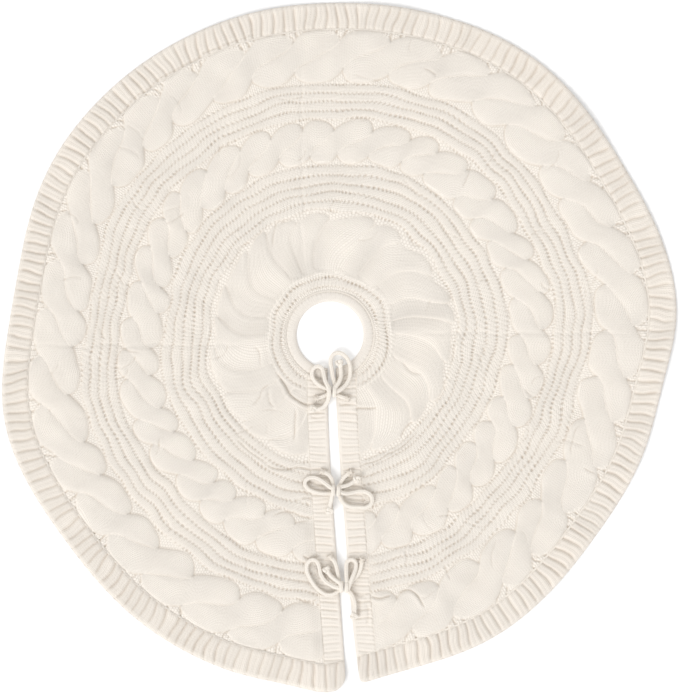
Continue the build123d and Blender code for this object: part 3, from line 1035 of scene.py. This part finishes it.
# Painted shade between the stitches, for the yarns that have no shade colour of their own.
STITCH_GAP_SHADE = (0.70, 0.64, 0.57)
CABLE_YARN = knit_material("cable_knit", LIGHT, STITCH_GAP_SHADE, 1.0 * MM)
COLLAR_YARN = knit_material("collar_knit", (0.85, 0.80, 0.738), STITCH_GAP_SHADE, 0.8 * MM)
RIB_YARN = knit_material("rib_knit", (0.84, 0.783, 0.712), STITCH_GAP_SHADE, 0.9 * MM)
# The plackets' and cords' yarns are lighter copies of the panel's cream: painted light that offsets the shade
# in the plackets' grooves and round the bows.
PLACKET_YARN = knit_material("placket_knit", (0.885, 0.828, 0.756), (0.75, 0.69, 0.62), 0.7 * MM)
CORD_YARN = knit_material("cord_yarn", (0.865, 0.815, 0.748), (0.71, 0.65, 0.57), 0.6 * MM)
SEAM_YARN = knit_material("seam_yarn", (0.84, 0.785, 0.715), (0.72, 0.66, 0.585), 0.4 * MM)


def finish_piece(piece, material, blended, side, nodes):
    """Gives a piece its material and its place in the frame."""
    piece.data.materials.append(material)
    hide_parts(*nodes)
    body = f"front_{SIDES[side]}"
    if blended:
        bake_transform(piece)
    else:
        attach(piece, body)


def knit_ring(part, number, side, yarn, slot, rhos, columns, relief, **details):
    """One piece of a knitted ring, from the back half to the quarter on its side of the slit."""
    word = SIDES[side]
    piece = ring_piece(f"{part}_{word}{number}", side, rhos, columns, relief, **details)
    finish_piece(piece, yarn, True, side, [f"front_{word}_{part}", f"back_{part}"])
    return piece


# ---------- camera and light
def add_camera():
    """A camera straight above, far enough away to see 1.243 m across."""
    data = bpy.data.cameras.new("camera")
    data.lens = 120
    data.sensor_width = 36
    camera = add_object("camera", data)
    half_view = 0.6215
    camera.location = (0.0206, -0.0206, half_view / (data.sensor_width / 2 / data.lens))
    bpy.context.scene.camera = camera


def add_sun(strength, towards, softness):
    data = bpy.data.lights.new("sun", "SUN")
    data.energy = strength
    data.angle = np.radians(softness)
    sun = add_object("sun", data)
    sun.rotation_euler = Vector(towards).to_track_quat("-Z", "Y").to_euler()


def add_world(brightness):
    """Even white light from all round."""
    world = bpy.data.worlds.new("studio")
    world.use_nodes = True
    set_inputs(world.node_tree.nodes["Background"], {"Color": (1, 1, 1, 1), "Strength": brightness})
    bpy.context.scene.world = world


def add_floor(half_size):
    """A white floor just below the skirt."""
    corners = [(half_size * x, half_size * y, 0) for x, y in ((-1, -1), (1, -1), (1, 1), (-1, 1))]
    mesh = bpy.data.meshes.new("floor")
    mesh.from_pydata(corners, [], [(0, 1, 2, 3)])
    paint = bpy.data.materials.new("floor_paint")
    paint.use_nodes = True
    shader = paint.node_tree.nodes["Principled BSDF"]
    set_inputs(shader, {"Base Color": (0.98, 0.98, 0.98, 1), "Roughness": 0.9})
    mesh.materials.append(paint)
    floor = add_object("floor", mesh)
    floor.location.z = -0.2 * MM


add_camera()
bpy.context.scene.view_settings.view_transform = "Standard"
add_world(0.92)
add_sun(1.45, (0.75, 0.85, -1.15), 35)
add_floor(6)

# ---------- the knitted pieces
PLACKET_INSETS = np.concatenate([[0.2, 0.5, 1.1, 2.0], np.linspace(3, 36, 24)]) * MM
for side, word in SIDES.items():
    for i, (low, high, columns) in enumerate(PANEL_PARTS):
        panel = knit_ring("body_panel", f"_{i + 1}", side, CABLE_YARN, "cable_knit",
                          rounded(low, high, 1.45 * MM), columns, panel_relief,
                          inset=PLACKET_W + SEAM_W / 2)
    collar = knit_ring("collar", "", side, COLLAR_YARN, "collar_knit",
                       rounded(HOLE_R, COLLAR_EDGE + 1 * MM, 1.1 * MM, edge_low=True), 210, collar_relief,
                       roll=4 * MM)
    hem = knit_ring("hem_rib", "", side, RIB_YARN, "hem_rib_knit",
                    rounded(RIB_EDGE, HEM, 1.6 * MM, edge_high=True), 1170, rib_relief,
                    roll=6 * MM, shade=0.6, corner=HEM_CORNERS[side])
    seam = knit_ring("collar_seam", "", side, SEAM_YARN, "seam_yarn",
                     np.linspace(COLLAR_EDGE, COLLAR_EDGE + SEAM_W, 6), 400, link_relief,
                     roll=2 * MM, shade=0.0)
    seam = knit_ring("hem_seam", "", side, SEAM_YARN, "seam_yarn",
                     np.linspace(PANEL_EDGE - 1 * MM, RIB_EDGE + 1 * MM, 6), 1800, link_relief,
                     roll=2 * MM, shade=0.0)
    placket = strip_piece(f"placket_{word}", side, PLACKET_INSETS, 520, placket_relief, 0.3)
    finish_piece(placket, PLACKET_YARN, False, side, [f"front_{word}_placket"])
    seam_insets = np.linspace(PLACKET_W, PLACKET_W + SEAM_W, 6)
    seam = strip_piece(f"placket_seam_{word}", side, seam_insets, 680, link_strip, 0.0)
    finish_piece(seam, SEAM_YARN, False, side, [f"front_{word}_placket_seam"])

# ---------- the ties
for bow, parts in BOWS.items():
    split_x, centre_y = parts["knot"]
    for side, word in SIDES.items():
        length, route = parts[word]
        name = f"{bow}_{word}"
        path = spline_path(route, 14)
        tie = knit_tube(f"{name}_cord", path, CORD_D / 2)
        knot = bow_knot(f"{name}_knot", split_x, centre_y, side)
        x, y, z = route[-1]
        end = end_knot(f"{name}_end", (x, y, max(z, 13.8)), x)
        tack = tack_stitches(f"{name}_stitches", route[:2])
        finish_piece(tie, CORD_YARN, False, side, [f"{name}_tie"])
        finish_piece(knot, CORD_YARN, False, side, [f"{name}_bow_knot"])
        finish_piece(end, CORD_YARN, False, side, [f"{name}_end_knot"])
        finish_piece(tack, SEAM_YARN, False, side, [f"{name}_tack"])
